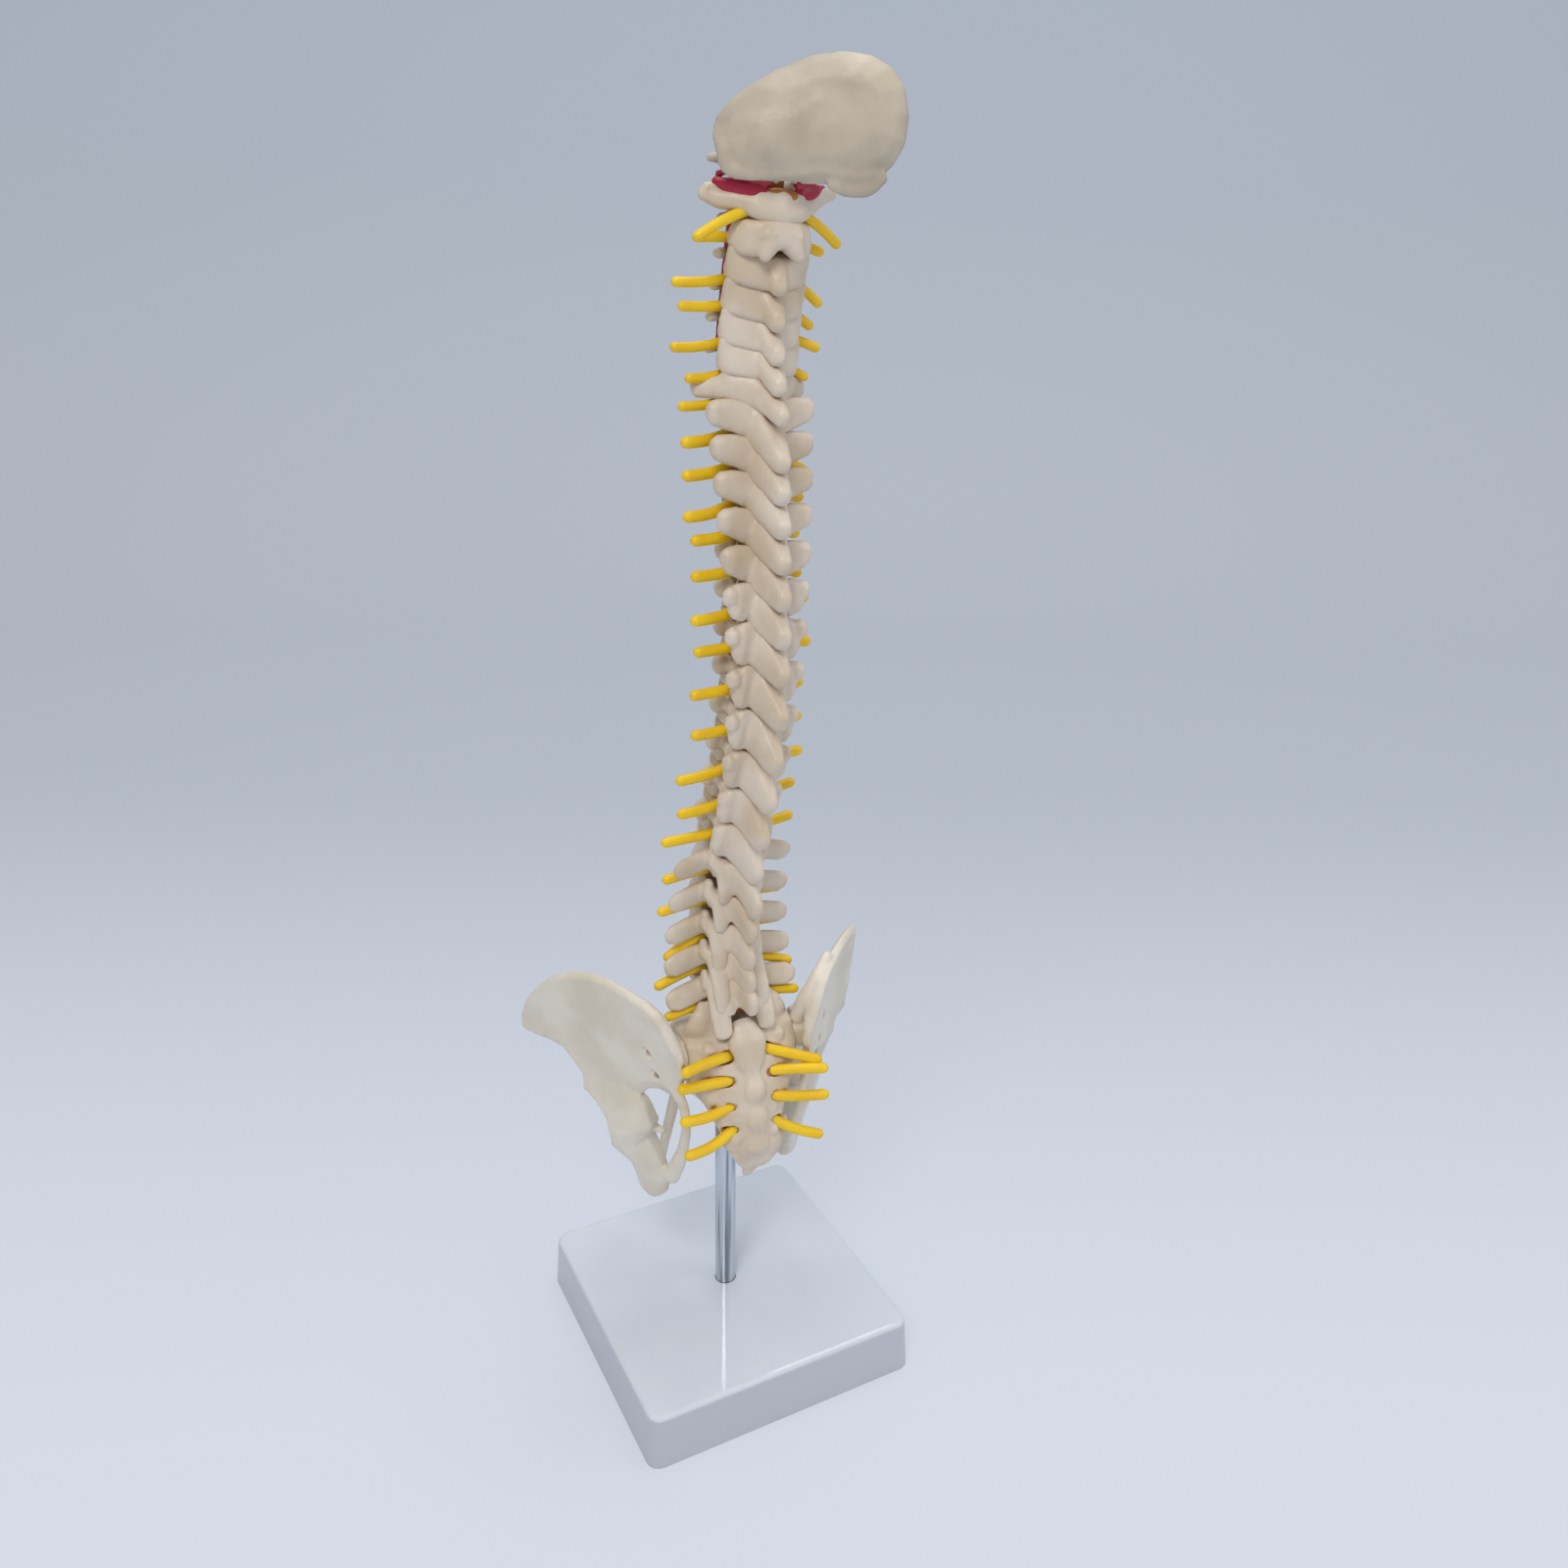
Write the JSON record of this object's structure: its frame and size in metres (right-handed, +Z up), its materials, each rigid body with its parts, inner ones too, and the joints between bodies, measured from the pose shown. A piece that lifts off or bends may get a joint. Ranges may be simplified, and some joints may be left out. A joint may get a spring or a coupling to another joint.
{
  "type": "spine anatomy model",
  "caption": "Teaching model of the human vertebral column with pelvis, occipital bone, spinal nerves and neck arteries, threaded on a steel rod that stands on a square base.",
  "frame": {"origin": "centre of the foot of the square base", "axes": "+Z up along the rod, +Y towards the front of the spine, so its back faces -Y and its left side -X"},
  "size_m": [0.1298, 0.11, 0.4559],
  "materials": {
    "base_moulding": "gloss",
    "rod_chrome": "polished",
    "nut_steel": "satin",
    "wire_steel": "satin",
    "cap_plastic": "satin",
    "bone_plastic": "satin",
    "skull_plastic": "satin",
    "disc_plastic": "satin",
    "nerve_plastic": "satin",
    "artery_plastic": "satin"
  },
  "bodies": {
    "root": {"base_plate": "base_moulding", "stand_rod": "rod_chrome", "base_nut": "nut_steel", "core_wire": "wire_steel", "core_cap": "cap_plastic", "sacrum": "bone_plastic", "hip_left": "bone_plastic", "hip_right": "bone_plastic", "symphysis_pad": "disc_plastic", "occipital_bone": "skull_plastic", "spinal_cord": "nerve_plastic", "nerve_pins": "nerve_plastic", "vertebral_arteries": "artery_plastic", "vertebra_c1": "bone_plastic", "vertebra_c2": "bone_plastic", "vertebra_c3": "bone_plastic", "vertebra_c4": "bone_plastic", "vertebra_c5": "bone_plastic", "vertebra_c6": "bone_plastic", "vertebra_c7": "bone_plastic", "vertebra_t1": "bone_plastic", "vertebra_t2": "bone_plastic", "vertebra_t3": "bone_plastic", "vertebra_t4": "bone_plastic", "vertebra_t5": "bone_plastic", "vertebra_t6": "bone_plastic", "vertebra_t7": "bone_plastic", "vertebra_t8": "bone_plastic", "vertebra_t9": "bone_plastic", "vertebra_t10": "bone_plastic", "vertebra_t11": "bone_plastic", "vertebra_t12": "bone_plastic", "vertebra_l1": "bone_plastic", "vertebra_l2": "bone_plastic", "vertebra_l3": "bone_plastic", "vertebra_l4": "bone_plastic", "vertebra_l5": "bone_plastic", "disc_c2_c3": "disc_plastic", "disc_c3_c4": "disc_plastic", "disc_c4_c5": "disc_plastic", "disc_c5_c6": "disc_plastic", "disc_c6_c7": "disc_plastic", "disc_c7_t1": "disc_plastic", "disc_t1_t2": "disc_plastic", "disc_t2_t3": "disc_plastic", "disc_t3_t4": "disc_plastic", "disc_t4_t5": "disc_plastic", "disc_t5_t6": "disc_plastic", "disc_t6_t7": "disc_plastic", "disc_t7_t8": "disc_plastic", "disc_t8_t9": "disc_plastic", "disc_t9_t10": "disc_plastic", "disc_t10_t11": "disc_plastic", "disc_t11_t12": "disc_plastic", "disc_t12_l1": "disc_plastic", "disc_l1_l2": "disc_plastic", "disc_l2_l3": "disc_plastic", "disc_l3_l4": "disc_plastic", "disc_l4_l5": "disc_plastic", "disc_l5_s1": "disc_plastic"}
  },
  "joints": []
}
